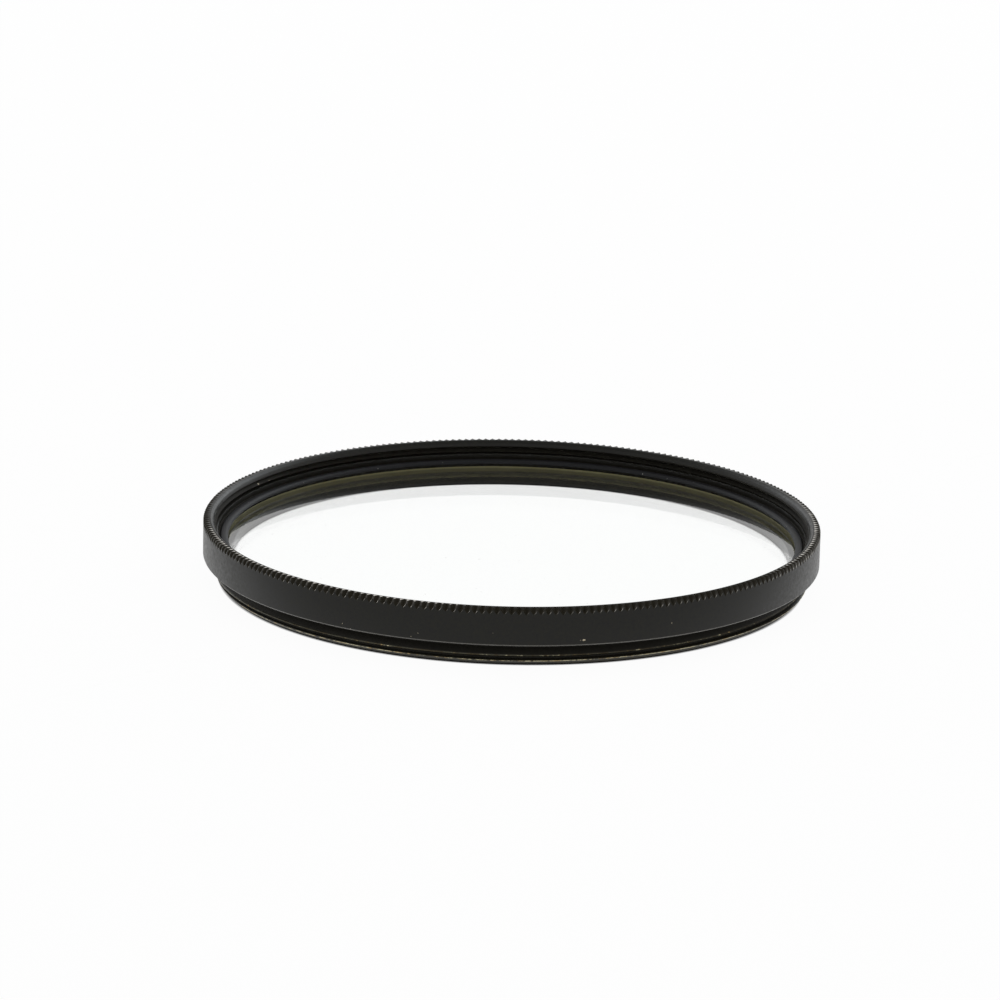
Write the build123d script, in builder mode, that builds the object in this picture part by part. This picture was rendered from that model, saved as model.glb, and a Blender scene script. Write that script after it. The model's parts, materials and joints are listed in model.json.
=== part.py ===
from build123d import *
import os
from math import pi, sqrt

# A screw-in lens filter, in millimetres. It stands on its male thread end, with the axis of the ring
# along +Z and the standing face at Z = 0. Heights are above the standing face.

# Screw threads: the male one at the foot and the female one in the mouth share one nominal size.
thread_diameter = 77.0
thread_clearance = 0.05       # radial room of the female thread over the male one
thread_lead = 0.8             # 45 degree bevel that starts the male thread
thread_length = 0.65          # male thread above its lead bevel
relief_depth = 0.5            # groove between the male thread and the shoulder
relief_slope = 0.9            # height of the thread's run-out into the groove
mouth_thread_length = 0.95    # female thread below the tapered mouth
mouth_thread_depth = 0.45     # how far the plain bore below the female thread stands in

# The plain band and the rim
overall_height = 7.9
shoulder_height = 3.0         # underside of the band
band_step = 1.5               # how far the band stands out beyond the thread
band_bevel = 0.2              # 45 degree bevel along the foot of the band
mouth_bevel_width = 0.35      # bevelled mouth, measured along the radius
mouth_bevel_height = 0.3      # bevelled mouth, measured along the axis
mouth_taper_width = 0.15      # steep taper below the bevel, measured along the radius
mouth_taper_height = 0.4      # steep taper below the bevel, measured along the axis

# Serration: straight V notches side by side across the top outer corner, cut at 45 degrees
notch_count = 275
ridge_bevel = 0.2             # how far the ridges between the notches stay back from the sharp corner
notch_depth = 0.37            # from the ridges to the foot of a notch, square to the slope of the ridges
cutter_reach = 0.11           # length that the cutter runs past a notch at each end
cutter_rise = 0.04            # height that the cutter stands above the sharp corner

# The glass and its seat
seat_height = 1.5             # top of the lip that the glass lies on
glass_thickness = 3.25
glass_bevel = 0.2
glass_clearance = 0.1         # radial room round the glass
glass_wall = 0.6              # metal between the relief groove and the glass
lip_width = 1.35
lip_bevel = 0.05              # inner edge of the standing face

# The retaining ring
ring_width = 1.05
ring_height = 0.9
ring_step = 0.45              # how far the ring's bore is wider than the glass's bore
ring_clearance = 0.05         # radial room round the ring
ring_drop = 0.3               # room under the ring beside the glass, so that it bears on the glass only
ring_slope_width = 0.5        # sloped inner edge, measured along the radius
ring_slope_height = 0.45      # sloped inner edge, measured along the axis
ring_undercut = 0.4           # how far the ring's inner edge stands out over its bearing on the glass
ring_bevel = 0.15             # outer top edge

# Radii that follow from the sizes above
thread_r = thread_diameter / 2
mouth_r = thread_r + thread_clearance
land_r = mouth_r - mouth_thread_depth
taper_r = mouth_r + mouth_taper_width
band_r = thread_r + band_step
relief_r = thread_r - relief_depth
glass_bore_r = relief_r - glass_wall
glass_r = glass_bore_r - glass_clearance
lip_r = glass_bore_r - lip_width
ring_bore_r = glass_bore_r + ring_step
ring_r = ring_bore_r - ring_clearance
ring_inner_r = ring_r - ring_width

# Heights that follow from the sizes above
thread_top = thread_lead + thread_length
taper_top = overall_height - mouth_bevel_height
mouth_thread_top = taper_top - mouth_taper_height
mouth_thread_foot = mouth_thread_top - mouth_thread_length
glass_top = seat_height + glass_thickness
ring_top = glass_top + ring_height
ring_bore_foot = glass_top - ring_drop
ring_bore_top = ring_top - ring_bevel

# Frame: one closed profile turned round the axis, then the serration
ridge_mid_r = band_r - ridge_bevel / 2
ridge_mid_z = overall_height - ridge_bevel / 2
notch_half_width = pi * ridge_mid_r / notch_count
cutter_top = ridge_bevel / sqrt(2) + cutter_rise
cutter_half_width = notch_half_width * (1 + cutter_top / notch_depth)
cutter_half_length = ridge_bevel / sqrt(2) + notch_depth + cutter_reach

with BuildPart() as notch_cutter:
    # The cutter lies along the slope of the ridges, at the point of the ring that faces +X.
    with BuildSketch(Plane(origin=(ridge_mid_r, 0, ridge_mid_z), x_dir=(0, 1, 0), z_dir=(-1, 0, 1))):
        with BuildLine():
            Polyline(
                (0, notch_depth),
                (cutter_half_width, -cutter_top),
                (-cutter_half_width, -cutter_top),
                close=True,
            )
        make_face()
    extrude(amount=cutter_half_length, both=True)

with BuildPart() as filter_frame:
    with BuildSketch(Plane.XZ):
        with BuildLine():
            Polyline(
                (lip_r + lip_bevel, 0),
                (thread_r - thread_lead, 0),
                (thread_r, thread_lead),
                (thread_r, thread_top),
                (relief_r, thread_top + relief_slope),
                (relief_r, shoulder_height),
                (band_r - band_bevel, shoulder_height),
                (band_r, shoulder_height + band_bevel),
                (band_r, overall_height),
                (taper_r + mouth_bevel_width, overall_height),
                (taper_r, taper_top),
                (mouth_r, mouth_thread_top),
                (mouth_r, mouth_thread_foot),
                (land_r, mouth_thread_foot),
                (land_r, ring_bore_top),
                (ring_bore_r, ring_bore_top),
                (ring_bore_r, ring_bore_foot),
                (glass_bore_r, ring_bore_foot),
                (glass_bore_r, seat_height),
                (lip_r, seat_height),
                (lip_r, lip_bevel),
                close=True,
            )
        make_face()
    revolve(axis=Axis.Z)
    with PolarLocations(0, notch_count, start_angle=180 / notch_count):
        add(notch_cutter.part, mode=Mode.SUBTRACT)

# Glass: a round disc with both edges bevelled
with BuildPart() as filter_glass:
    with BuildSketch(Plane.XZ):
        with BuildLine():
            Polyline(
                (0, seat_height),
                (glass_r - glass_bevel, seat_height),
                (glass_r, seat_height + glass_bevel),
                (glass_r, glass_top - glass_bevel),
                (glass_r - glass_bevel, glass_top),
                (0, glass_top),
                close=True,
            )
        make_face()
    revolve(axis=Axis.Z)

# Retaining ring: lies on the glass, with its inner edge sloped above and undercut below
with BuildPart() as retaining_ring:
    with BuildSketch(Plane.XZ):
        with BuildLine():
            Polyline(
                (ring_inner_r + ring_undercut, glass_top),
                (ring_r, glass_top),
                (ring_r, ring_bore_top),
                (ring_r - ring_bevel, ring_top),
                (ring_inner_r + ring_slope_width, ring_top),
                (ring_inner_r, ring_top - ring_slope_height),
                close=True,
            )
        make_face()
    revolve(axis=Axis.Z)

filter_frame.part.label = "filter_frame"
filter_glass.part.label = "filter_glass"
retaining_ring.part.label = "retaining_ring"

os.makedirs("parts", exist_ok=True)
export_step(filter_frame.part, "parts/filter_frame.step")
export_step(filter_glass.part, "parts/filter_glass.step")
export_step(retaining_ring.part, "parts/retaining_ring.step")
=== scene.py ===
import json
from functools import reduce
from math import atan, ceil, cos, floor, pi, radians, sin, sqrt

import bmesh
import bpy
import numpy as np
from bpy.props import FloatProperty, FloatVectorProperty, IntProperty, PointerProperty
from bpy.types import Operator, Panel, PropertyGroup
from mathutils import Matrix, Vector


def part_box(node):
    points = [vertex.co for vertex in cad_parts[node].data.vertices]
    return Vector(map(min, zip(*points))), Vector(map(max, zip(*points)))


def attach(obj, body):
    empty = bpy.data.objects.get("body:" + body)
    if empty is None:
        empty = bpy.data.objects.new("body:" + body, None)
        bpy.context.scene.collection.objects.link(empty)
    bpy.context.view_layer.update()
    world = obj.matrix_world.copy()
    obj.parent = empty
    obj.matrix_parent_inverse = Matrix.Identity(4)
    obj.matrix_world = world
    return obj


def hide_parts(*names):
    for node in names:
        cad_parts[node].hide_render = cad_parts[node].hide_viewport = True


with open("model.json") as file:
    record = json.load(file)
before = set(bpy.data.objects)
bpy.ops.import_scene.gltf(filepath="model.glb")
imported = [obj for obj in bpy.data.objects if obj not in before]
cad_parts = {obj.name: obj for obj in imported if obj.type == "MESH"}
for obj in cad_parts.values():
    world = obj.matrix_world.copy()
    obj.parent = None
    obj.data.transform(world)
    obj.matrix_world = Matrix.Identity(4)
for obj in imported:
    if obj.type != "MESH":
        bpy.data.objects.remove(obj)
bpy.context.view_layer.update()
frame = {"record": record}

# Looks of a screw-in lens filter: a black frame with a serrated rim, a round glass and the ring that holds
# it. Lengths are in metres. The filter's axis is Z, it stands on Z = 0, and the camera looks towards +Y.

bl_info = {
    "name": "Screw In Lens Filter",
    "version": (1, 0, 0),
    "blender": (4, 5, 0),
    "location": "3D View > Sidebar > Lens Filter",
    "description": "Builds a round glass filter in a threaded black frame, with a white studio round it",
    "category": "Add Mesh",
}

MM = 0.001
IMAGE_SIZE = 1000  # pixels along each side of the picture that the camera is set up for
SENSOR_WIDTH = 36.0  # mm
CLIP_START, CLIP_END = 0.05, 20.0

FRAME_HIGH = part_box("filter_frame")[1]
GLASS_LOW, GLASS_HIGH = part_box("filter_glass")
RING_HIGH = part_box("retaining_ring")[1]
MOUNTS = {mount["name"]: mount for mount in frame["record"]["mounts"]}


def thread_wall(name):
    """Radius, foot and top of the wall that carries a screw thread."""
    mount = MOUNTS[name]
    half = mount["dims"]["length_mm"] * MM / 2
    middle = mount["pos_m"][2]
    return mount["dims"]["r_mm"] * MM, middle - half, middle + half


MALE_R, MALE_FOOT, MALE_TOP = thread_wall("male_thread")
FEMALE_R, FEMALE_FOOT, FEMALE_TOP = thread_wall("front_thread")


def length(name, description, millimetres):
    """A length that a user may change, given in millimetres."""
    return FloatProperty(name=name, description=description, default=millimetres * MM, min=0.0,
                         precision=5, unit="LENGTH")


def colour(name, description, value):
    """A colour that a user may change."""
    return FloatVectorProperty(name=name, description=description, default=value, size=3, min=0.0, max=1.0,
                               subtype="COLOR")


def share(name, description, value):
    """A number from 0 to 1 that a user may change."""
    return FloatProperty(name=name, description=description, default=value, min=0.0, max=1.0,
                         subtype="FACTOR")


def view_angle(name, description, value):
    """An angle of the camera that a user may change, given in radians."""
    return FloatProperty(name=name, description=description, default=value, subtype="ANGLE")


def pixels(name, description, value):
    """A distance in the picture that a user may change, given in pixels."""
    return FloatProperty(name=name, description=description, default=value, min=1.0, subtype="PIXEL")


def lamp_power(name, description, watts):
    """The power of a light that a user may change, given in watts."""
    return FloatProperty(name=name, description=description, default=watts, min=0.0, unit="POWER")


class FilterSizes(PropertyGroup):
    """Sizes of the filter's turned and cut forms."""

    band_radius: length("Band radius", "Outer radius of the plain band", FRAME_HIGH.x / MM)
    overall_height: length("Overall height", "From the standing face to the rim", FRAME_HIGH.z / MM)
    shoulder_height: length("Shoulder height", "Height of the underside of the band", 3.0)
    band_bevel: length("Band bevel", "Bevel along the foot of the band", 0.2)
    mouth_bevel_width: length("Mouth bevel width", "Width of the mouth's bevel along the radius", 0.35)
    mouth_bevel_height: length("Mouth bevel height", "Height of the mouth's bevel along the axis", 0.3)
    mouth_taper: length("Mouth taper", "Width of the steep taper below the mouth's bevel", 0.15)
    relief_depth: length("Relief depth", "Depth of the groove above the male thread", 0.5)
    relief_slope: length("Relief slope", "Height of the thread's run-out into the groove", 0.9)
    edge_ease: length("Edge easing", "How far the sharp turned edges are broken", 0.04)
    notch_count: IntProperty(name="Notches", description="Number of notches round the rim",
                             default=275, min=8)
    notch_depth: length("Notch depth", "Depth of a notch, square to its slope", 0.37)
    ridge_bevel: length("Ridge bevel", "How far the ridges stay back from the corner along the rim", 0.2)
    ridge_drop: length("Ridge drop", "How far the ridges stay back from the corner down the band", 0.3)
    notch_spread: share("Notch spread", "How much the notches differ in depth", 0.07)
    rim_reach: FloatProperty(name="Rim reach", default=1.08, min=1.0,
                             description="How much further a notch goes along the rim than down the band")
    pitch: length("Thread pitch", "Height that a thread climbs in one turn", 0.75)
    male_depth: length("Male thread depth", "Depth of the male thread", 0.46)
    female_crest: length("Female thread crest", "How far the thread's crest stands in from its wall", 0.25)
    female_root: length("Female thread root", "How far the thread's root goes behind its wall", 0.2)
    land_step: length("Land step", "How far the plain bore below the female thread stands in", 0.45)
    lip_width: length("Lip width", "Width of the lip that the glass lies on", 1.35)
    lip_bevel: length("Lip bevel", "Bevel along the foot of the lip", 0.05)
    glass_clearance: length("Glass clearance", "Room round the glass", 0.1)
    glass_bevel: length("Glass bevel", "Bevel along both edges of the glass", 0.2)
    glass_gap: length("Glass gap", "Air between the glass and what it touches", 0.01)
    ring_width: length("Ring width", "Width of the retaining ring", 1.05)
    ring_clearance: length("Ring clearance", "Room round the retaining ring", 0.05)
    ring_drop: length("Ring drop", "Room under the ring beside the glass", 0.3)
    ring_bevel: length("Ring bevel", "Outer top edge of the retaining ring", 0.15)
    ring_slope_width: length("Ring slope width", "Width of the ring's rounded inner edge", 0.5)
    ring_slope_height: length("Ring slope height", "Height of the ring's rounded inner edge", 0.45)
    ring_undercut: length("Ring undercut", "How far the ring's inner edge stands out over its bearing", 0.4)


class FilterFinish(PropertyGroup):
    """Colours and wear of the filter's surfaces, and the colours that paint shade and light on them."""

    coating: colour("Coating", "Black coating of the frame", (0.0048, 0.0045, 0.0022))
    ring_coating: colour("Ring coating", "Black coating of the retaining ring", (0.0034, 0.0038, 0.0050))
    bare_metal: colour("Bare metal", "Metal that shows where the coating is worn", (0.52, 0.48, 0.32))
    stain: colour("Stain", "Brown stain on the worn metal", (0.40, 0.30, 0.14))
    chip: colour("Chip", "Metal that shows in the chips", (0.42, 0.37, 0.28))
    # Along the far edge of each notch this metal also stands in for a painted highlight.
    rubbed_edge: colour("Rubbed edge", "Metal that shows along the cut edges", (0.64, 0.61, 0.56))
    # Grime and painted shade: the brown film darkens the notches.
    grime: colour("Grime", "Brown film in the notches", (0.029, 0.0253, 0.0175))
    # Painted shade: a dark line along the standing edge stands in for the contact shadow.
    foot_line: colour("Foot line", "Dark line along the standing edge", (0.005, 0.005, 0.0055))
    # Painted shade: this black film stands in for the shade in the threads and grooves and under the ring.
    soot: colour("Soot", "Black film in the threads and grooves", (0.018, 0.0165, 0.013))
    ground_edge: colour("Ground edge", "Matt edge of the glass", (0.175, 0.160, 0.080))
    seat_film: colour("Seat film", "Dull film on the seat under the glass", (0.028, 0.027, 0.024))
    dust: colour("Dust", "Specks that lie on the surfaces", (0.60, 0.58, 0.54))
    roughness: share("Roughness", "Roughness of the frame's coating", 0.38)
    ring_roughness: share("Ring roughness", "Roughness of the retaining ring's coating", 0.54)
    crest_wear: share("Crest wear", "Share of the thread crests that is worn to the metal", 0.42)


class FilterStage(PropertyGroup):
    """Camera and light of the white studio."""

    distance: length("Camera distance", "From the camera to the middle of the standing face", 751.3)
    elevation: view_angle("Camera elevation", "Height of the camera above the floor, as an angle", 0.28874)
    roll: view_angle("Camera roll", "Turn of the camera about its own axis", 0.02349)
    focal_pixels: pixels("Focal length", "Focal length, in pixels of the picture", 5775.2)
    place_across: pixels("Place across", "Where the middle of the standing face appears", 510.7)
    place_down: pixels("Place down", "Where the middle of the standing face appears", 577.6)
    backdrop: colour("Backdrop", "Colour of the studio", (1.0, 1.0, 1.0))
    lamp_tint: colour("Lamp tint", "Colour of the lights at the sides", (0.88, 0.95, 1.0))
    ambient: share("Ambient light", "Strength of the light from all round", 0.45)
    overhead: share("Overhead", "Level of the studio above the filter, as its gloss shows it", 0.55)
    floor_glow: share("Floor glow", "Share of the floor's white that shadows don't reach", 0.96)
    contact_reach: length("Contact reach", "How far from the filter's foot its contact shadow reaches", 0.3)
    left_light: lamp_power("Left light", "Power of the light at the left", 0.9)
    right_light: lamp_power("Right light", "Power of the light at the right", 2.0)
    top_light: lamp_power("Top light", "Power of the light above", 2.2)


class Wire:
    """A node's output that takes part in Python arithmetic. Each operator adds one Math node."""

    def __init__(self, tree, socket=None):
        self.tree = tree
        self.socket = socket

    def node(self, kind, settings=(), sockets=(), output=0):
        """Adds a node, sets its settings, gives its sockets values or links, and returns an output."""
        made = self.tree.nodes.new(kind)
        for name, value in dict(settings).items():
            setattr(made, name, value)
        for name, value in dict(sockets).items():
            if isinstance(value, Wire):
                self.tree.links.new(value.socket, made.inputs[name])
            else:
                made.inputs[name].default_value = value
        return Wire(self.tree, made.outputs[output])

    def math(self, operation, first, second=0.0, clamp=False):
        """One Math node on two values or wires."""
        return self.node("ShaderNodeMath", {"operation": operation, "use_clamp": clamp},
                         {0: first, 1: second})

    def __add__(self, other):
        return self.math("ADD", self, other)

    __radd__ = __add__

    def __sub__(self, other):
        return self.math("SUBTRACT", self, other)

    def __rsub__(self, other):
        return self.math("SUBTRACT", other, self)

    def __mul__(self, other):
        return self.math("MULTIPLY", self, other)

    __rmul__ = __mul__

    def __truediv__(self, other):
        return self.math("DIVIDE", self, other)

    def __pow__(self, other):
        return self.math("POWER", self, other)

    def above(self, level, width):
        """0 below a level, 1 above it, with a straight change of a given width between."""
        return self.math("MULTIPLY", self - (level - width / 2), 1 / width, clamp=True)

    def largest(self, other):
        """The larger of this value and another."""
        return self.math("MAXIMUM", self, other)

    def blend(self, first, second):
        """Mix of two colours, with this value as the share of the second. The node's colours are its sockets
        6 and 7 and its output 2."""
        return self.node("ShaderNodeMix", {"data_type": "RGBA"}, {0: self, 6: first, 7: second}, output=2)

    def times_colour(self, value):
        """A colour with each of its channels multiplied by this value."""
        return self.node("ShaderNodeVectorMath", {"operation": "SCALE"}, {0: value, "Scale": self})


def opaque(value):
    """A colour with full alpha."""
    return (*value, 1.0)


def new_material(name):
    """An empty node material, with a wire to start its nodes from."""
    material = bpy.data.materials.new(name)
    material.use_nodes = True
    material.node_tree.nodes.clear()
    return material, Wire(material.node_tree)


def show(wire, surface):
    """Links a shader to the material's output."""
    output = wire.tree.nodes.new("ShaderNodeOutputMaterial")
    wire.tree.links.new(surface.socket, output.inputs["Surface"])


def even_turn(columns):
    """Evenly spaced angles of one full turn, with both ends."""
    return np.linspace(0.0, 2 * pi, columns + 1)


def turned(radius, height, turn):
    """Rows that stay level all round, for a list of radii and a list of heights."""
    shape = (len(radius), len(turn))
    return (np.broadcast_to(np.asarray(radius, float)[:, None], shape),
            np.broadcast_to(np.asarray(height, float)[:, None], shape))


# Largest share of a profile's side that the easing of one corner may take
EASE_SHARE = 0.4


def eased(corners, ease):
    """Profile whose inner corners are each cut by a short straight, so that the edge catches light.
    Each corner becomes two points, one on each side of it, at the easing distance or a share of that side."""
    corners = np.asarray(corners, float)
    side = np.diff(corners, axis=0)
    size = np.linalg.norm(side, axis=1)
    step = side * (np.minimum(ease, EASE_SHARE * size) / size)[:, None]
    pairs = np.stack([corners[1:-1] - step[:-1], corners[1:-1] + step[1:]], axis=1).reshape(-1, 2)
    points = np.concatenate([corners[:1], pairs, corners[-1:]])
    return points[:, 0], points[:, 1]


# Levels of one turn of a screw thread: crest, flank, root, flank, crest.
FORM_LEVEL = (1.0, 1.0, 0.0, 0.0, 1.0, 1.0)


def thread_rows(foot, top, crest, pitch, half_crest, flank, turn):
    """Heights and thread form of rows that climb with a right-hand thread between two level edges.
    Height = crest + pitch * (row's place in the thread + share of the turn), held between foot and top.
    The form is 1 on the crest, 0 in the root and straight on the flanks. Half the crest and a flank are
    given as shares of the pitch. The crest's height is that at the +X side."""
    root = half_crest + flank
    form_place = (0.0, half_crest, root, 1 - root, 1 - half_crest, 1.0)
    row_place = np.array((half_crest, half_crest + flank / 2, root,
                          1 - root, 1 - root + flank / 2, 1 - half_crest))
    turns = turn / (2 * pi)
    first, last = floor((foot - crest) / pitch) - 1, ceil((top - crest) / pitch) + 1
    place = (np.arange(first, last)[:, None] + row_place).reshape(-1, 1)
    height = np.clip(crest + pitch * (place + turns), foot, top)
    form = np.interp(((height - crest) / pitch - turns) % 1.0, form_place, FORM_LEVEL)
    return height, form


MERGE_DISTANCE = 0.0002 * MM
SHARP_ANGLE = radians(30.0)  # edges that turn by more than this are shaded as edges


def turned_mesh(name, radius, height, turn, marks=()):
    """Closed mesh of rows carried round the axis: X = radius * cos(turn), Y = radius * sin(turn), Z = height.
    Rows run from the foot outwards, up the outside, over the top and down the inside, so that faces point
    outwards. Points that meet, at the seam, the poles and the ends of a thread, are merged. Marks are values
    per point."""
    rows, columns = radius.shape
    points = np.stack([radius * np.cos(turn), radius * np.sin(turn), height], axis=-1).reshape(-1, 3)
    start = (np.arange(rows - 1)[:, None] * columns + np.arange(columns - 1)).ravel()
    quads = np.stack([start, start + 1, start + columns + 1, start + columns], axis=1)
    mesh = bpy.data.meshes.new(name)
    mesh.from_pydata(points.tolist(), [], quads.tolist())
    for mark, value in dict(marks).items():
        layer = mesh.attributes.new(mark, "FLOAT", "POINT")
        layer.data.foreach_set("value", np.ascontiguousarray(value, np.float32).ravel())
    work = bmesh.new()
    work.from_mesh(mesh)
    bmesh.ops.remove_doubles(work, verts=work.verts, dist=MERGE_DISTANCE)
    work.to_mesh(mesh)
    work.free()
    if len(mesh.loops) != 2 * len(mesh.edges):
        raise RuntimeError(f"{name} isn't closed: {len(mesh.loops)} corners on {len(mesh.edges)} edges")
    mesh.shade_smooth()
    mesh.set_sharp_from_angle(angle=SHARP_ANGLE)
    return mesh


def add_piece(name, mesh, node, slot, *materials):
    """Puts a finished mesh in the scene in place of a node, on the one body that there is."""
    piece = bpy.data.objects.new(name, mesh)
    bpy.context.scene.collection.objects.link(piece)
    for material in materials:
        mesh.materials.append(material)
    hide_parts(node)
    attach(piece, "root")
    return piece


# Crest heights of the threads at the +X side. They bring the crests to their heights at the front and back.
MALE_CREST = 0.0875 * MM
FEMALE_CREST = 6.30 * MM

# Half the crest and one flank of each thread, as shares of its pitch
MALE_FORM = (1 / 16, 5 / 16)
FEMALE_FORM = (0.01, 0.47)

# Height over which the male thread's depth fades out at the top of its wall
THREAD_FADE = 0.3 * MM

# Columns of one notch, as shares of the notch spacing: the edge of a ridge, a flank, the foot of the notch,
# the far flank and the edge of the next ridge. The levels give the notch's depth there, at the band and at
# the rim's flat, and the last row says how much dull film of grime and painted shade lies there.
NOTCH_COLUMNS = np.array((0.06, 0.20, 0.5, 0.80, 0.94))
BAND_LEVEL = np.array((0.0, 0.45, 1.0, 0.45, 0.0))
RIM_LEVEL = np.array((0.0, 0.50, 1.0, 0.50, 0.0))
NOTCH_GRIME_AND_SHADE = np.array((0.7, 0.95, 1.0, 0.95, 0.7))

# How bare the metal is at each column, along the corner with the band, on the ridge and on the rim's flat
# Along the corner, the far edge of each notch (1.60) is a painted highlight on top of the wear.
CORNER_WEAR_AND_GLINT = np.array((0.10, 0.05, 0.0, 1.60, 0.20))
RIDGE_EDGE = np.array((0.35, 0.0, 0.0, 0.0, 0.35))
LAND_EDGE = np.array((2.4, 1.2, 0.0, 1.2, 2.4))

# Rows of the serrated corner: each row's share of the way from the band to the rim's flat, and how far the
# first and the last row lie past the ends of the notches. One more row lies on the rim's flat, at a share of
# the way out from where that is plain.
EDGE_WIDTH = 0.05 * MM
CUT_SHARE = np.array((0.0, 0.0, 0.1, 0.9, 1.0, 1.0))[:, None]
CUT_PAST = EDGE_WIDTH * np.array((1.0, 0.0, 0.0, 0.0, 0.0, 1.0))[:, None]
LAND_SHARE = 0.4
EDGE_ROOM = 1.2 * EDGE_WIDTH  # room between the longest notch and where the band and the rim are plain

# Where the rim is rubbed by gripping it: azimuth in degrees and cosine of the angle at which the wear ends.
# The wear is full where the cosine is larger by the fade.
GRIPS = ((225.0, 0.75), (353.0, 0.86))
GRIP_FADE = 0.15

# Wear of the corner and of the ridges: the part that is there all round, and the part that the grips add
CORNER_RUB, CORNER_GRIP = 0.8, 0.4
RIDGE_RUB, RIDGE_GRIP = 0.2, 0.8
RUB_LEAST = 0.35  # wear of the least worn notch, as a share of the most worn one's
CORNER_BLEED = 0.25  # share of the corner's wear that reaches the slope above it
LAND_BLEED = 0.1  # share of the flat's wear that reaches the ends of the notches
NOTCH_SEED = 7

# Heights on the male thread: where the lead bevel is rubbed and ends, where the wear of the crests begins,
# where the first crest ends, and how far the wear goes past the top of the thread's wall
LEAD_RUB_FOOT, LEAD_TOP = 0.2 * MM, 0.62 * MM
WEAR_FOOT, FIRST_CREST_TOP, WEAR_PAST = 0.4 * MM, 1.0 * MM, 0.2 * MM

# Wear of the thread crests, and how bare the lead bevel, the crests and the bevel of the band are
FIRST_CREST_WEAR, CREST_WEAR = 1.05, 0.84
LEAD_EDGE, CREST_EDGE, BEVEL_EDGE = 0.07, 0.16, 0.2

# How much dull film, as painted shade, lies in the male thread's root, in the groove above it, in the cuts
# and the female thread, on the front of the rim's flat and on the inner edge of the lip; in the notches it is
# grime as well
ROOT_SHADE, GROOVE_SHADE, CUT_SHADE_FILM, RIM_SHADE, LIP_SHADE = 0.8, 0.75, 0.9, 0.95, 0.05
# Painted shade on the front of the rim's flat: the slope says how fast it fades out towards the back.
RIM_SHADE_SLOPE = 1.5  # how fast the rim's film fades out from the front to the back


def glass_bore(sizes):
    """Radius of the bore that the glass lies in."""
    return GLASS_HIGH.x + sizes.glass_clearance


def lip_bore(sizes):
    """Radius of the opening inside the lip."""
    return glass_bore(sizes) - sizes.lip_width


def relief_radius(sizes):
    """Radius of the groove above the male thread."""
    return MALE_R - sizes.relief_depth


def notch_swing(sizes):
    """How far a notch goes along the band, beyond the end of its ridges."""
    return sqrt(2) * sizes.notch_depth


def rim_flat_edge(sizes):
    """Radius at which the rim's flat is plain all round, inside the longest notch."""
    longest = sizes.ridge_bevel + sizes.rim_reach * notch_swing(sizes)
    return sizes.band_radius - longest * (1 + sizes.notch_spread) - EDGE_ROOM


def band_edge_height(sizes):
    """Height at which the band is plain all round, below the longest notch."""
    longest = sizes.ridge_drop + notch_swing(sizes)
    return sizes.overall_height - longest * (1 + sizes.notch_spread) - EDGE_ROOM


def round_once(values):
    """A table of values per notch as one list along the turn, which ends with the first value again."""
    return np.append(values.ravel(), values.ravel()[0])


def serration(sizes):
    """Rows of the serrated corner, how bare their edges are, with a painted highlight, and the notches'
    painted shade and grime.
    It is a bevel whose size swings, along the turn, from the ridge's to the notch's and back. Down the band
    it is ridge drop + swing * band level, and along the rim it is ridge bevel + reach * swing * rim level.
    Each notch and each ridge differs a little from its neighbours. The edges are rubbed most at the grips,
    where cos(turn - grip) is near 1."""
    count, top, band = sizes.notch_count, sizes.overall_height, sizes.band_radius
    chance = np.random.default_rng(NOTCH_SEED)
    notch_size = 1 + sizes.notch_spread * chance.uniform(-1, 1, count)
    ridge_size = 1 + sizes.notch_spread * chance.uniform(-1, 1, count)
    rub = (RUB_LEAST + (1 - RUB_LEAST) * chance.uniform(0, 1, count))[:, None]
    next_ridge = np.roll(ridge_size, -1)
    ridge = ridge_size[:, None] * (1 - NOTCH_COLUMNS) + next_ridge[:, None] * NOTCH_COLUMNS
    swing = notch_swing(sizes) * notch_size[:, None]
    azimuth = 2 * pi * (np.arange(count) + 0.5) / count
    held = [np.clip((np.cos(azimuth - radians(at)) - end) / GRIP_FADE, 0, 1) for at, end in GRIPS]
    grip = sum(held)[:, None]

    down = round_once(sizes.ridge_drop * ridge + swing * BAND_LEVEL)
    inward = round_once(sizes.ridge_bevel * ridge + sizes.rim_reach * swing * RIM_LEVEL)
    radius = band - inward * CUT_SHARE - CUT_PAST * (CUT_SHARE > 0.5)
    height = top - down * (1 - CUT_SHARE) - CUT_PAST * (CUT_SHARE < 0.5)
    plain = rim_flat_edge(sizes)
    radius = np.vstack([radius, plain + LAND_SHARE * (radius[-1] - plain)])
    height = np.vstack([height, np.full_like(down, top)])

    none = np.zeros_like(down)
    # Grime and painted shade: how much dull film lies in each notch.
    grime_and_shade_share = round_once(np.ones((count, 1)) * NOTCH_GRIME_AND_SHADE)
    # Wear along the corner, with a painted highlight along the far edge of each notch.
    corner = round_once(rub * (CORNER_RUB + CORNER_GRIP * grip) * CORNER_WEAR_AND_GLINT)
    crown = round_once(rub * (RIDGE_RUB + RIDGE_GRIP * grip) * RIDGE_EDGE)
    land = round_once(rub * grip * LAND_EDGE)
    faint = LAND_BLEED * land
    edge = np.stack([none, corner, np.maximum(crown, CORNER_BLEED * corner), crown, faint, faint, land])
    notch = np.stack([none, grime_and_shade_share, grime_and_shade_share, grime_and_shade_share, grime_and_shade_share, none, none])
    return radius, height, edge, notch


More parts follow.
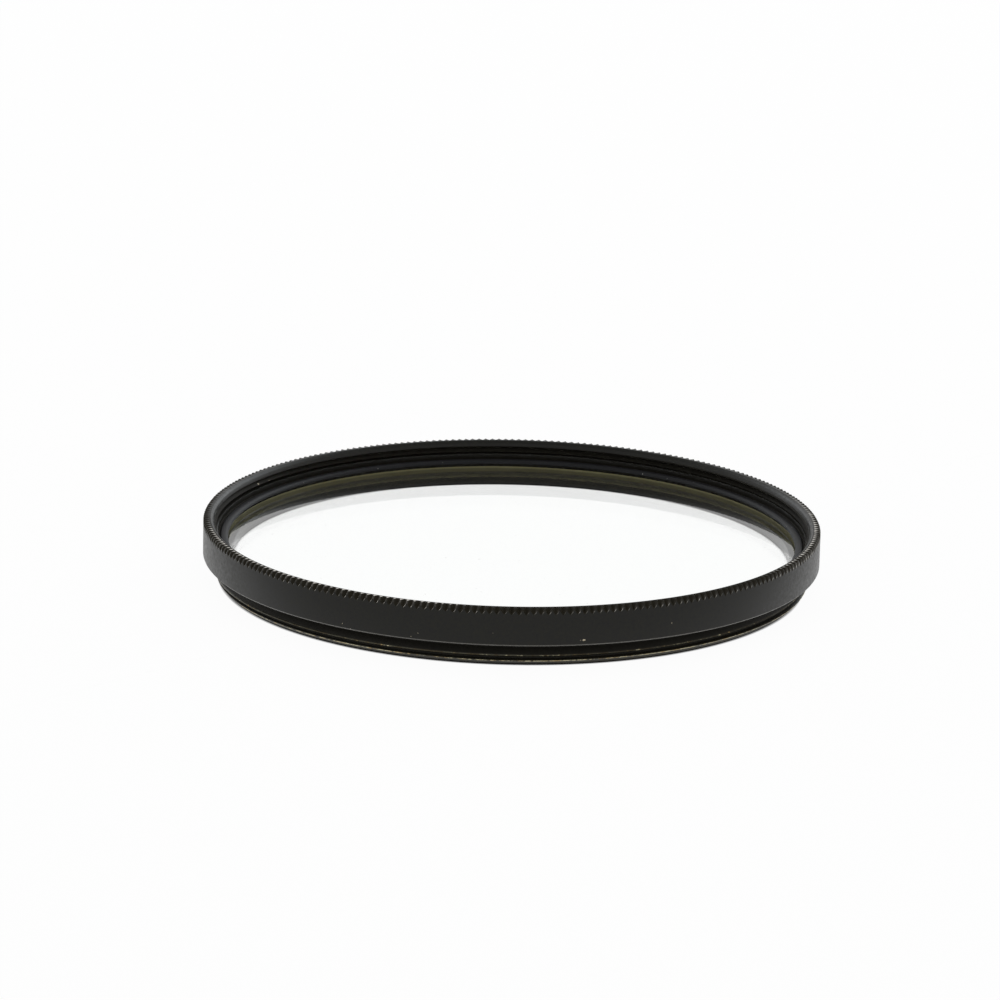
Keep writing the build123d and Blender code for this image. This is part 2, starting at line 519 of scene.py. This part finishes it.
def frame_marks(sizes, turn, parts, male_form, cut_edge, cut_notch):
    """Values per point of the frame, from 0 where there is nothing to mark: worn thread crests, bare edges,
    notches, dull films of painted shade (grime as well in the notches) and the seat under the glass."""
    male_z = parts["male"][1]
    band_r, band_z = parts["band"]
    cut_z = parts["cut"][1]
    mouth_r = parts["mouth"][0]
    female_r = parts["female"][0]
    inside_r, inside_z = parts["inside"]
    ease = sizes.edge_ease

    # The upper third of the thread's form counts as its crest.
    crest = np.clip(3 * male_form - 2, 0, 1)
    on_lead = (male_z > LEAD_RUB_FOOT) & (male_z < LEAD_TOP)
    on_thread = (male_z > WEAR_FOOT) & (male_z < MALE_TOP + WEAR_PAST)
    rubbed = np.where(male_z < FIRST_CREST_TOP, FIRST_CREST_WEAR, CREST_WEAR)
    male_wear = np.where(on_thread, rubbed * crest, 0.0)
    male_edge = np.where(on_lead, LEAD_EDGE, np.where(on_thread, CREST_EDGE * crest, 0.0))
    # Painted shade: a dull film in the thread's root and in the groove above the thread.
    thread_shade = np.where(male_z < MALE_TOP, ROOT_SHADE * (1 - male_form), GROOVE_SHADE)
    male_shade = np.where(male_z < LEAD_TOP, 0.0, thread_shade)

    by_bevel = band_r > sizes.band_radius - sizes.band_bevel - ease
    by_foot = band_z < sizes.shoulder_height + sizes.band_bevel + ease
    band_edge = np.where(by_bevel & by_foot, BEVEL_EDGE, 0.0)
    # Painted shade: a dull film on the groove's wall under the band.
    band_shade = np.where(band_r < relief_radius(sizes) + ease, GROOVE_SHADE, 0.0)

    # Painted shade: the front of the rim's flat gets a dull dark film that fades out towards the back.
    rim_shade = RIM_SHADE * np.clip(0.5 - RIM_SHADE_SLOPE * np.sin(turn), 0, 1)
    # Grime and painted shade: the dull film in the notches.
    notch_grime_and_shade = CUT_SHADE_FILM * cut_notch
    cut_shade = np.where(cut_z < sizes.overall_height, notch_grime_and_shade, np.maximum(notch_grime_and_shade, rim_shade))
    # The first two rows of the mouth lie on the rim's flat.
    mouth_shade = np.where(np.arange(len(mouth_r))[:, None] < 2, rim_shade, 0.0)

    on_ledge = np.abs(inside_z - RING_HIGH.z + sizes.ring_bevel) < 1.5 * ease
    on_lip = (np.abs(inside_r - lip_bore(sizes)) < ease / 2) & (inside_z < GLASS_LOW.z - ease / 2)
    on_seat = (np.abs(inside_z - GLASS_LOW.z) < ease / 2) & (inside_r < glass_bore(sizes))
    # Painted shade: a dull film on the ledge above the ring and a trace of it on the lip's inner edge.
    inside_shade = np.where(on_ledge, CUT_SHADE_FILM, np.where(on_lip, LIP_SHADE, 0.0))

    # The female thread gets the dull film all over, as painted shade.
    marks = {
        "wear": {"male": male_wear},
        "edge": {"male": male_edge, "band": band_edge, "cut": cut_edge},
        "notch": {"cut": cut_notch},
        "film": {"male": male_shade, "band": band_shade, "cut": cut_shade, "mouth": mouth_shade,
                 "female": np.full_like(female_r, CUT_SHADE_FILM), "inside": inside_shade},
        "seat": {"inside": on_seat.astype(float)},
    }
    return {mark: np.concatenate([given.get(part, np.zeros_like(rows)) for part, (rows, _) in parts.items()])
            for mark, given in marks.items()}


def frame_surface(sizes):
    """Rows of the whole frame, with its threads and its serration, and its marks.
    The profile starts in the middle of the standing face. The male thread is root + depth * form, cut by the
    lead cone below and the run-out cone above. The female thread is root - depth * form, between the mouth's
    taper above and the plain bore below."""
    turn = 2 * pi / sizes.notch_count * (np.arange(sizes.notch_count)[:, None] + NOTCH_COLUMNS).ravel()
    turn = np.append(turn, turn[0] + 2 * pi)
    top, band, ease = sizes.overall_height, sizes.band_radius, sizes.edge_ease
    bore, lip, relief = glass_bore(sizes), lip_bore(sizes), relief_radius(sizes)
    ring_bore = RING_HIGH.x + sizes.ring_clearance
    lead_foot = MALE_R - MALE_FOOT
    stand = (lip + sizes.lip_bevel + lead_foot) / 2

    male_top = MALE_TOP + sizes.relief_slope
    male_z, male_form = thread_rows(0.0, male_top, MALE_CREST, sizes.pitch, *MALE_FORM, turn)
    run_out = MALE_R - sizes.relief_depth * np.maximum(male_z - MALE_TOP, 0) / sizes.relief_slope
    fade = np.clip((MALE_TOP + THREAD_FADE / 2 - male_z) / THREAD_FADE, 0, 1)
    threaded = MALE_R - sizes.male_depth * (1 - male_form) * fade
    male_r = np.minimum(threaded, np.minimum(lead_foot + male_z, run_out))

    female_z, female_form = thread_rows(FEMALE_FOOT, FEMALE_TOP, FEMALE_CREST, sizes.pitch,
                                        *FEMALE_FORM, turn)
    female_r = FEMALE_R + sizes.female_root - (sizes.female_root + sizes.female_crest) * female_form

    cut_r, cut_z, cut_edge, cut_notch = serration(sizes)
    parts = {
        "foot": turned([stand, lead_foot], [0.0, 0.0], turn),
        "male": (male_r, male_z),
        "band": turned(*eased([
            (relief, male_top),
            (relief, sizes.shoulder_height),
            (band - sizes.band_bevel, sizes.shoulder_height),
            (band, sizes.shoulder_height + sizes.band_bevel),
            (band, band_edge_height(sizes)),
        ], ease), turn),
        "cut": (cut_r, cut_z),
        "mouth": turned(*eased([
            (rim_flat_edge(sizes), top),
            (FEMALE_R + sizes.mouth_taper + sizes.mouth_bevel_width, top),
            (FEMALE_R + sizes.mouth_taper, top - sizes.mouth_bevel_height),
            (FEMALE_R, FEMALE_TOP),
        ], ease), turn),
        "female": (female_r[::-1], female_z[::-1]),
        "inside": turned(*eased([
            (FEMALE_R - sizes.land_step, FEMALE_FOOT),
            (FEMALE_R - sizes.land_step, RING_HIGH.z - sizes.ring_bevel),
            (ring_bore, RING_HIGH.z - sizes.ring_bevel),
            (ring_bore, GLASS_HIGH.z - sizes.ring_drop),
            (bore, GLASS_HIGH.z - sizes.ring_drop),
            (bore, GLASS_LOW.z),
            (lip, GLASS_LOW.z),
            (lip, sizes.lip_bevel),
            (lip + sizes.lip_bevel, 0.0),
            (stand, 0.0),
        ], ease), turn),
    }
    radius = np.concatenate([rows for rows, _ in parts.values()])
    height = np.concatenate([rows for _, rows in parts.values()])
    return radius, height, turn, frame_marks(sizes, turn, parts, male_form, cut_edge, cut_notch)


GLASS_COLUMNS, RING_COLUMNS = 480, 720
RING_ROUND_ROWS = 13
RING_EASING = 1.5  # times the easing of the frame's edges
NOSE_STEP = 0.1  # share of the undercut that eases its upper edge
FLAT_LEVEL = 0.9  # faces whose normal has a smaller upward part than this are ground


def glass_surface(sizes, turn):
    """Rows of the glass: a disc between two flat faces. Its edge is bevelled by the same length along the
    radius and along the axis."""
    low, high, edge = GLASS_LOW.z + sizes.glass_gap, GLASS_HIGH.z - sizes.glass_gap, GLASS_HIGH.x
    bevel = sizes.glass_bevel
    return turned(
        [0.0, edge / 2, edge - bevel, edge, edge, edge - bevel, edge / 2, 0.0],
        [low, low, low, low + bevel, high - bevel, high, high, high], turn)


def ring_surface(sizes, turn):
    """Rows of the retaining ring, and the mark for the dull film of painted shade on its underside.
    The inner edge is a quarter of an ellipse: radius = inner + width * (1 - sin(bow)) and
    height = nose + height * cos(bow), for a bow from 0 to 90 degrees. Below that nose, the undercut runs
    straight to the bearing on the glass."""
    outer, top, foot = RING_HIGH.x, RING_HIGH.z, GLASS_HIGH.z
    inner = outer - sizes.ring_width
    wide, high = sizes.ring_slope_width, sizes.ring_slope_height
    bearing, nose = inner + sizes.ring_undercut, top - high
    bow = np.linspace(0.0, pi / 2, RING_ROUND_ROWS)
    bevel_r, bevel_z = eased([
        (bearing, foot),
        (outer, foot),
        (outer, top - sizes.ring_bevel),
        (outer - sizes.ring_bevel, top),
        (inner + wide, top),
    ], RING_EASING * sizes.edge_ease)
    below_r, below_z = inner + NOSE_STEP * sizes.ring_undercut, nose + NOSE_STEP * (foot - nose)
    radius, height = turned(
        np.concatenate([bevel_r, inner + wide * (1 - np.sin(bow)), [below_r, bearing]]),
        np.concatenate([bevel_z, nose + high * np.cos(bow), [below_z, foot]]), turn)
    # Painted shade: the last two rows, under the ring's nose, get the dull film.
    film = np.zeros_like(radius)
    film[-2:] = 1.0
    return radius, height, turn, {"film": film}


# Where each pattern of the looks sets in: the level in the middle of its change, and the width of the change
STAIN_STEP = (0.52, 0.12)
RUB_STEP = (0.05, 0.1)
SPOT_STEP = (1.0, 0.35)  # shares of the spot's size
BAND_STEP = (2.5, 0.5)  # mm above the standing face
# Painted contact shade along the standing edge: its height and the width of its change.
FOOT_SHADE_STEP = (0.18, 0.12)  # mm above the standing face
RING_DUST_STEP = (0.855, 0.01)
GLASS_DUST_STEP = (0.885, 0.01)
STREAK_STEP = (0.5, 0.5)
OVERHEAD_STEP = (0.65, 0.3)  # upward part of a direction

# Wear of the crests: the level above which a crest is bare where none is worn, how far that level sinks
# where all are worn, and the width of its change
WORN_LEVEL, WORN_SPAN, WORN_WIDTH = 1.02, 0.62, 0.16

COAT_GLOSS = 0.25
# Gloss and roughness of the dull film that paints shade.
SHADE_FILM_GLOSS, SHADE_FILM_ROUGHNESS = 0.06, 0.85
COAT_BUMP, RING_BUMP, GROUND_BUMP = 0.004 * MM, 0.003 * MM, 0.006 * MM
SPOT_RAGGED = 1.6  # how ragged the chips are
LINE_TILT = 1.7  # height's part in the place of a turned line, against the radius's

GLASS_INDEX = 1.52
GLASS_TINT = (0.985, 0.995, 0.988)
GLASS_SHADOW = (0.93, 0.94, 0.93)
SPECK_SHARE, SPECK_ROUGHNESS = 0.25, 0.9

# Ground edge: its dark streaks and its painted light at the top as multiples of its colour, and where the
# painted light sets in, as the depth in millimetres below the top of the glass and the width of the change
GROUND_DARK, GROUND_PAINTED_LIGHT = 0.62, 2.0
PAINTED_LIGHT_DEPTH, PAINTED_LIGHT_WIDTH = 0.9, 1.2


def surface_place(wire):
    """Object coordinates, and the distance from the axis and the height along it, in millimetres."""
    place = wire.node("ShaderNodeTexCoord", output="Object")
    apart = wire.node("ShaderNodeSeparateXYZ", sockets={0: place}).socket.node
    across, along, up = (Wire(wire.tree, socket) for socket in apart.outputs)
    radius = (across * across + along * along) ** 0.5
    return place, radius / MM, up / MM


def mark_value(wire, mark):
    """Value of one of the mesh's marks."""
    return wire.node("ShaderNodeAttribute", {"attribute_name": mark}, output="Fac")


def on_path(wire, *kinds):
    """1 where light takes a path of one of the named kinds, 0 elsewhere."""
    path = wire.node("ShaderNodeLightPath").socket.node
    return reduce(Wire.largest, [Wire(wire.tree, path.outputs[f"Is {kind} Ray"]) for kind in kinds])


def grain(wire, place, per_mm, detail=2.0, rough=0.55):
    """Even noise with about so many spots to a millimetre."""
    return wire.node("ShaderNodeTexNoise", {"noise_dimensions": "3D"},
                     {"Vector": place, "Scale": per_mm / MM, "Detail": detail, "Roughness": rough})


def line_noise(wire, along, per_mm, detail, rough):
    """Noise along one measure only, with about so many lines to a millimetre."""
    return wire.node("ShaderNodeTexNoise", {"noise_dimensions": "1D"},
                     {"W": along, "Scale": per_mm, "Detail": detail, "Roughness": rough})


def tool_lines(wire, radius, height, per_mm):
    """Fine turned lines: noise along the profile only, the same all round."""
    return line_noise(wire, radius + LINE_TILT * height, per_mm, detail=3.0, rough=0.6)


def bumped(wire, strength, distance, relief):
    """Normal of a surface with a fine relief."""
    return wire.node("ShaderNodeBump", sockets={"Strength": strength, "Distance": distance, "Height": relief})


def spot(wire, place, ragged, azimuth, radius, height, size):
    """1 inside a ragged round spot at a place on the turned surface, 0 outside it. Its azimuth is in degrees,
    and its radius, height and size are in millimetres."""
    angle = radians(azimuth)
    middle = (radius * MM * cos(angle), radius * MM * sin(angle), height * MM)
    away = wire.node("ShaderNodeVectorMath", {"operation": "DISTANCE"}, {0: place, 1: middle},
                     output="Value")
    edge = away / (size * MM) + (ragged - 0.5) * SPOT_RAGGED
    return 1 - edge.above(*SPOT_STEP)


# Chips on the band and marks on the inner wall: azimuth in degrees, radius, height and size in millimetres.
CHIPS = (
    (283.25, 40.0, 3.75, 0.11),
    (283.47, 40.0, 3.76, 0.10),
    (282.75, 40.0, 3.74, 0.04),
    (300.2, 40.0, 4.88, 0.05),
    (267.1, 40.0, 4.69, 0.03),
    (253.6, 40.0, 3.98, 0.05),
    (252.3, 40.0, 3.43, 0.04),
    (240.4, 40.0, 3.17, 0.06),
    (238.7, 40.0, 3.70, 0.05),
    (165.1, 38.4, 6.94, 0.07),
    (151.6, 38.4, 6.77, 0.12),
    (147.8, 38.4, 6.60, 0.10),
)


def shade_film(wire, shade, flecks, bump):
    """Uneven dull film with hardly any gloss, that paints shade in recesses, and grime with it in the
    notches.
    """
    return wire.node("ShaderNodeBsdfPrincipled", sockets={
        "Base Color": (0.5 + flecks).times_colour(shade),
        "Roughness": SHADE_FILM_ROUGHNESS,
        "Specular IOR Level": SHADE_FILM_GLOSS,
        "Normal": bump,
    })


def black_coating(finish):
    """Satin black coating on turned metal, with turned lines, fine grain and mottling. A dull brown film in
    the notches is grime and painted shade, and a dull black one in the threads, grooves and on the front of
    the rim's flat is painted shade. Crests and ridges are worn to the yellowish metal, with a painted
    highlight along the far edge of each notch, and there are a few chips. The standing edge has a painted
    dark line of contact shade."""
    material, wire = new_material("black_coating")
    place, radius, height = surface_place(wire)
    lines = tool_lines(wire, radius, height, per_mm=9.0)
    fine = grain(wire, place, per_mm=7.0)
    broad = grain(wire, place, per_mm=0.12, detail=3.0)
    mottle = grain(wire, place, per_mm=2.2) - 0.5
    flecks = grain(wire, place, per_mm=1.5, detail=4.0, rough=0.65)
    stains = grain(wire, place, per_mm=0.9)
    wear, edge, notch, film, seat = (
        mark_value(wire, mark) for mark in ("wear", "edge", "notch", "film", "seat"))

    worn_level = WORN_LEVEL - WORN_SPAN * finish.crest_wear
    worn = (wear * (flecks + 0.55 * broad)).above(worn_level, WORN_WIDTH)
    chips = reduce(Wire.largest, [spot(wire, place, flecks, *chip) for chip in CHIPS])
    # Rubbed edges: wear, and along the far edge of each notch a painted highlight.
    rubbed = edge * (0.5 + flecks)
    bare = worn.largest(chips).largest(rubbed)

    black = (0.75 + 0.5 * broad + 2.6 * mottle).times_colour(finish.coating)
    filmed = (seat * (0.6 + 0.6 * flecks)).blend(black, opaque(finish.seat_film))
    stained = stains.above(*STAIN_STEP).blend(opaque(finish.bare_metal), opaque(finish.stain))
    chipped = chips.blend(stained, opaque(finish.chip))
    on_band = height.above(*BAND_STEP)
    metal = (rubbed.above(*RUB_STEP) * on_band).blend(chipped, opaque(finish.rubbed_edge))
    rough = (finish.roughness + 0.12 * (lines - 0.5) + 0.10 * (fine - 0.5) + 0.06 * (broad - 0.5)
             + 0.08 * bare + 0.35 * mottle)
    bump = bumped(wire, 0.5, COAT_BUMP, 0.6 * lines + 0.5 * fine - 1.2 * bare)
    coat = wire.node("ShaderNodeBsdfPrincipled", sockets={
        "Base Color": bare.blend(filmed, metal),
        "Metallic": bare,
        "Roughness": rough,
        "Specular IOR Level": COAT_GLOSS,
        "Normal": bump,
    })
    # Painted shade: where the film mark is set, a dull film takes the place of the gloss; brown in the
    # notches, black elsewhere.
    dull = shade_film(wire, notch.blend(opaque(finish.soot), opaque(finish.grime)), flecks, bump)
    shade_filmed = wire.node("ShaderNodeMixShader", sockets={0: film * (1 - bare), 1: coat, 2: dull})
    # Painted contact shade: a dark matt line along the standing edge.
    foot = wire.node("ShaderNodeBsdfDiffuse", sockets={"Color": opaque(finish.foot_line)})
    at_foot_shade = 1 - height.above(*FOOT_SHADE_STEP)
    show(wire, wire.node("ShaderNodeMixShader", sockets={0: at_foot_shade, 1: shade_filmed, 2: foot}))
    return material


def ring_coating(finish):
    """Black coating of the retaining ring: duller than the frame's, with finer turned lines and a little
    dust. A dull film on its underside is painted shade under the ring."""
    material, wire = new_material("ring_coating")
    place, radius, height = surface_place(wire)
    lines = tool_lines(wire, radius, height, per_mm=14.0)
    fine = grain(wire, place, per_mm=9.0)
    broad = grain(wire, place, per_mm=0.15, detail=3.0)
    dust = grain(wire, place, per_mm=3.4, detail=0.0).above(*RING_DUST_STEP)
    black = (0.8 + 0.4 * broad).times_colour(finish.ring_coating)
    rough = finish.ring_roughness + 0.10 * (lines - 0.5) + 0.08 * (fine - 0.5) + 0.3 * dust
    bump = bumped(wire, 0.4, RING_BUMP, 0.6 * lines + 0.4 * fine)
    coat = wire.node("ShaderNodeBsdfPrincipled", sockets={
        "Base Color": (0.7 * dust).blend(black, opaque(finish.dust)),
        "Roughness": rough,
        "Specular IOR Level": COAT_GLOSS,
        "Normal": bump,
    })
    # Painted shade: the dull black film under the ring.
    dull = shade_film(wire, finish.soot, fine, bump)
    show(wire, wire.node("ShaderNodeMixShader", sockets={0: mark_value(wire, "film"), 1: coat, 2: dull}))
    return material


def clear_glass(finish):
    """Polished clear glass that lamps shine through, with a very few dust specks on it."""
    material, wire = new_material("clear_glass")
    place = wire.node("ShaderNodeTexCoord", output="Object")
    dust = grain(wire, place, per_mm=2.2, detail=0.0).above(*GLASS_DUST_STEP)
    glass = wire.node("ShaderNodeBsdfPrincipled", sockets={
        "Base Color": opaque(GLASS_TINT),
        "Roughness": 0.0,
        "IOR": GLASS_INDEX,
        "Transmission Weight": 1.0,
    })
    speck = wire.node("ShaderNodeBsdfPrincipled", sockets={
        "Base Color": opaque(finish.dust),
        "Roughness": SPECK_ROUGHNESS,
    })
    surface = wire.node("ShaderNodeMixShader", sockets={0: SPECK_SHARE * dust, 1: glass, 2: speck})
    lit = wire.node("ShaderNodeBsdfTransparent", sockets={"Color": opaque(GLASS_SHADOW)})
    lamp = on_path(wire, "Shadow", "Diffuse")
    show(wire, wire.node("ShaderNodeMixShader", sockets={0: lamp, 1: surface, 2: lit}))
    return material


def ground_edge(finish):
    """Matt ground edge of the glass: olive, streaked along the edge by the grinding, and with painted light
    at its top."""
    material, wire = new_material("ground_edge")
    place, radius, height = surface_place(wire)
    streaks = line_noise(wire, height + radius, per_mm=2.4, detail=2.0, rough=0.5)
    fine = grain(wire, place, per_mm=4.0)
    pale = (0.7 * streaks + 0.3 * fine).above(*STREAK_STEP)
    dark = tuple(GROUND_DARK * level for level in finish.ground_edge)
    # Painted light: a lighter colour at the top of the edge.
    light = tuple(GROUND_PAINTED_LIGHT * level for level in finish.ground_edge)
    painted_light_share = height.above(GLASS_HIGH.z / MM - PAINTED_LIGHT_DEPTH, PAINTED_LIGHT_WIDTH)
    streaked = pale.blend(opaque(dark), opaque(finish.ground_edge))
    show(wire, wire.node("ShaderNodeBsdfPrincipled", sockets={
        "Base Color": painted_light_share.blend(streaked, opaque(light)),
        "Roughness": 0.75 + 0.2 * (fine - 0.5),
        "Normal": bumped(wire, 0.5, GROUND_BUMP, fine),
    }))
    return material


def studio_white(stage):
    """Floor that keeps soft shadows: part of its white is lit by the lamps, and part glows for the camera,
    for mirrors and through glass."""
    material, wire = new_material("studio_white")
    seen = on_path(wire, "Camera", "Glossy", "Transmission")
    lit = wire.node("ShaderNodeBsdfDiffuse", sockets={"Color": opaque(stage.backdrop)})
    # Painted contact shadow: ambient occlusion darkens the glowing part of the floor near the filter's foot.
    contact = wire.node("ShaderNodeAmbientOcclusion", {"samples": 8},
                        {"Color": opaque(stage.backdrop), "Distance": stage.contact_reach})
    glow = wire.node("ShaderNodeEmission", sockets={"Color": contact})
    show(wire, wire.node("ShaderNodeMixShader", sockets={0: stage.floor_glow * seen, 1: lit, 2: glow}))
    return material


class LENSFILTER_OT_frame(Operator):
    """Build the black frame with its threads and its serrated rim"""

    bl_idname = "lens_filter.frame"
    bl_label = "Frame"

    def execute(self, context):
        sizes, finish = context.scene.lens_filter_sizes, context.scene.lens_filter_finish
        mesh = turned_mesh("frame_body", *frame_surface(sizes))
        add_piece("frame_body", mesh, "filter_frame", "black_coating", black_coating(finish))
        return {"FINISHED"}


class LENSFILTER_OT_glass(Operator):
    """Build the round glass with its ground edge"""

    bl_idname = "lens_filter.glass"
    bl_label = "Glass"

    def execute(self, context):
        sizes, finish = context.scene.lens_filter_sizes, context.scene.lens_filter_finish
        turn = even_turn(GLASS_COLUMNS)
        mesh = turned_mesh("glass_disc", *glass_surface(sizes, turn), turn)
        normal = np.empty(3 * len(mesh.polygons), np.float32)
        mesh.polygons.foreach_get("normal", normal)
        on_edge = np.abs(normal.reshape(-1, 3)[:, 2]) < FLAT_LEVEL
        piece = add_piece("glass_disc", mesh, "filter_glass", "clear_glass",
                          clear_glass(finish), ground_edge(finish))
        piece.data.polygons.foreach_set("material_index", on_edge.astype(np.int32))
        return {"FINISHED"}


class LENSFILTER_OT_ring(Operator):
    """Build the retaining ring that lies on the glass"""

    bl_idname = "lens_filter.ring"
    bl_label = "Retaining ring"

    def execute(self, context):
        sizes, finish = context.scene.lens_filter_sizes, context.scene.lens_filter_finish
        mesh = turned_mesh("glass_ring", *ring_surface(sizes, even_turn(RING_COLUMNS)))
        add_piece("glass_ring", mesh, "retaining_ring", "black_ring", ring_coating(finish))
        return {"FINISHED"}


# Places and sides of the square lights, and half the side of the floor and its depth below the filter
LEFT_PLACE, LEFT_SIDE = (-0.62, 0.72, 0.36), 0.45
RIGHT_PLACE, RIGHT_SIDE = (0.57, 0.70, 0.46), 0.60
TOP_PLACE, TOP_SIDE = (0.0, 0.30, 0.95), 0.80
FLOOR_HALF, FLOOR_DEPTH = 4.0, 0.02 * MM


class LENSFILTER_OT_stage(Operator):
    """Set up the white floor, the soft lights, the world and the camera"""

    bl_idname = "lens_filter.stage"
    bl_label = "Studio"

    def execute(self, context):
        stage = context.scene.lens_filter_stage
        context.scene.view_settings.view_transform = "Standard"
        self.add_floor(context, stage)
        self.add_world(context, stage)
        self.add_light(context, "left_light", LEFT_PLACE, LEFT_SIDE, stage.left_light, stage.lamp_tint)
        self.add_light(context, "right_light", RIGHT_PLACE, RIGHT_SIDE, stage.right_light, stage.lamp_tint)
        top_light = self.add_light(context, "top_light", TOP_PLACE, TOP_SIDE, stage.top_light, stage.backdrop)
        top_light.visible_glossy = False
        self.add_camera(context, stage)
        return {"FINISHED"}

    def add_floor(self, context, stage):
        """A square far wider than the view, a hair below the standing face."""
        side = np.array((-FLOOR_HALF, FLOOR_HALF))
        across, along = np.meshgrid(side, side)
        points = np.stack([across, along, np.full_like(across, -FLOOR_DEPTH)], axis=-1).reshape(-1, 3)
        mesh = bpy.data.meshes.new("studio_floor")
        mesh.from_pydata(points.tolist(), [], [(0, 1, 3, 2)])
        floor_plane = bpy.data.objects.new("studio_floor", mesh)
        context.scene.collection.objects.link(floor_plane)
        mesh.materials.append(studio_white(stage))

    def add_world(self, context, stage):
        """White where it is seen or seen through glass, darker overhead where it is mirrored, and a plain
        soft light elsewhere."""
        world = bpy.data.worlds.new("studio_world")
        world.use_nodes = True
        world.node_tree.nodes.clear()
        wire = Wire(world.node_tree)
        seen, mirrored = on_path(wire, "Camera", "Transmission"), on_path(wire, "Glossy")
        direction = wire.node("ShaderNodeTexCoord", output="Generated")
        up = wire.node("ShaderNodeSeparateXYZ", sockets={0: direction}, output="Z")
        level = 1 - (1 - stage.overhead) * up.above(*OVERHEAD_STEP)
        strength = seen.largest(mirrored * level).largest(stage.ambient)
        glow = wire.node("ShaderNodeBackground", sockets={
            "Color": opaque(stage.backdrop), "Strength": strength})
        output = world.node_tree.nodes.new("ShaderNodeOutputWorld")
        world.node_tree.links.new(glow.socket, output.inputs["Surface"])
        context.scene.world = world

    def add_light(self, context, name, place, side, watts, tint):
        """A square soft light that points at the filter."""
        data = bpy.data.lights.new(name, "AREA")
        data.shape, data.size, data.energy, data.color = "SQUARE", side, watts, tint
        light = bpy.data.objects.new(name, data)
        light.location = place
        light.rotation_euler = (-Vector(place)).to_track_quat("-Z", "Y").to_euler()
        context.scene.collection.objects.link(light)
        return light

    def add_camera(self, context, stage):
        """Camera at a distance and elevation in front of the filter, rolled about its axis, and turned so
        that the middle of the standing face appears at its place in the picture."""
        data = bpy.data.cameras.new("photo_camera")
        data.sensor_width = SENSOR_WIDTH
        data.lens = stage.focal_pixels * SENSOR_WIDTH / IMAGE_SIZE
        data.clip_start, data.clip_end = CLIP_START, CLIP_END
        back = Vector((0.0, -cos(stage.elevation), sin(stage.elevation)))
        right, up = Vector((1.0, 0.0, 0.0)), Vector((0.0, sin(stage.elevation), cos(stage.elevation)))
        straight, aside = cos(stage.roll), sin(stage.roll)
        turn = Matrix((straight * right + aside * up, straight * up - aside * right, back)).transposed()
        pan = atan((stage.place_across - IMAGE_SIZE / 2) / stage.focal_pixels)
        tilt = atan((stage.place_down - IMAGE_SIZE / 2) / stage.focal_pixels)
        turn = turn @ Matrix.Rotation(pan, 3, "Y") @ Matrix.Rotation(tilt, 3, "X")
        camera = bpy.data.objects.new("photo_camera", data)
        camera.matrix_world = Matrix.Translation(stage.distance * back) @ turn.to_4x4()
        context.scene.collection.objects.link(camera)
        context.scene.camera = camera


class LENSFILTER_PT_panel(Panel):
    """Sizes, finish and studio of the filter, with a button for each piece"""

    bl_idname = "LENSFILTER_PT_panel"
    bl_label = "Lens Filter"
    bl_space_type = "VIEW_3D"
    bl_region_type = "UI"
    bl_category = "Lens Filter"

    def draw(self, context):
        for operator in OPERATORS:
            self.layout.operator(operator.bl_idname)
        for group in (context.scene.lens_filter_sizes, context.scene.lens_filter_finish,
                      context.scene.lens_filter_stage):
            box = self.layout.box()
            for name in group.__annotations__:
                box.prop(group, name)


OPERATORS = (LENSFILTER_OT_stage, LENSFILTER_OT_frame, LENSFILTER_OT_glass, LENSFILTER_OT_ring)
CLASSES = (FilterSizes, FilterFinish, FilterStage, *OPERATORS, LENSFILTER_PT_panel)


def register():
    for cls in CLASSES:
        bpy.utils.register_class(cls)
    bpy.types.Scene.lens_filter_sizes = PointerProperty(type=FilterSizes)
    bpy.types.Scene.lens_filter_finish = PointerProperty(type=FilterFinish)
    bpy.types.Scene.lens_filter_stage = PointerProperty(type=FilterStage)


def unregister():
    del bpy.types.Scene.lens_filter_stage
    del bpy.types.Scene.lens_filter_finish
    del bpy.types.Scene.lens_filter_sizes
    for cls in reversed(CLASSES):
        bpy.utils.unregister_class(cls)


def main():
    register()
    bpy.ops.lens_filter.stage()
    bpy.ops.lens_filter.frame()
    bpy.ops.lens_filter.glass()
    bpy.ops.lens_filter.ring()


if __name__ == "__main__":
    main()
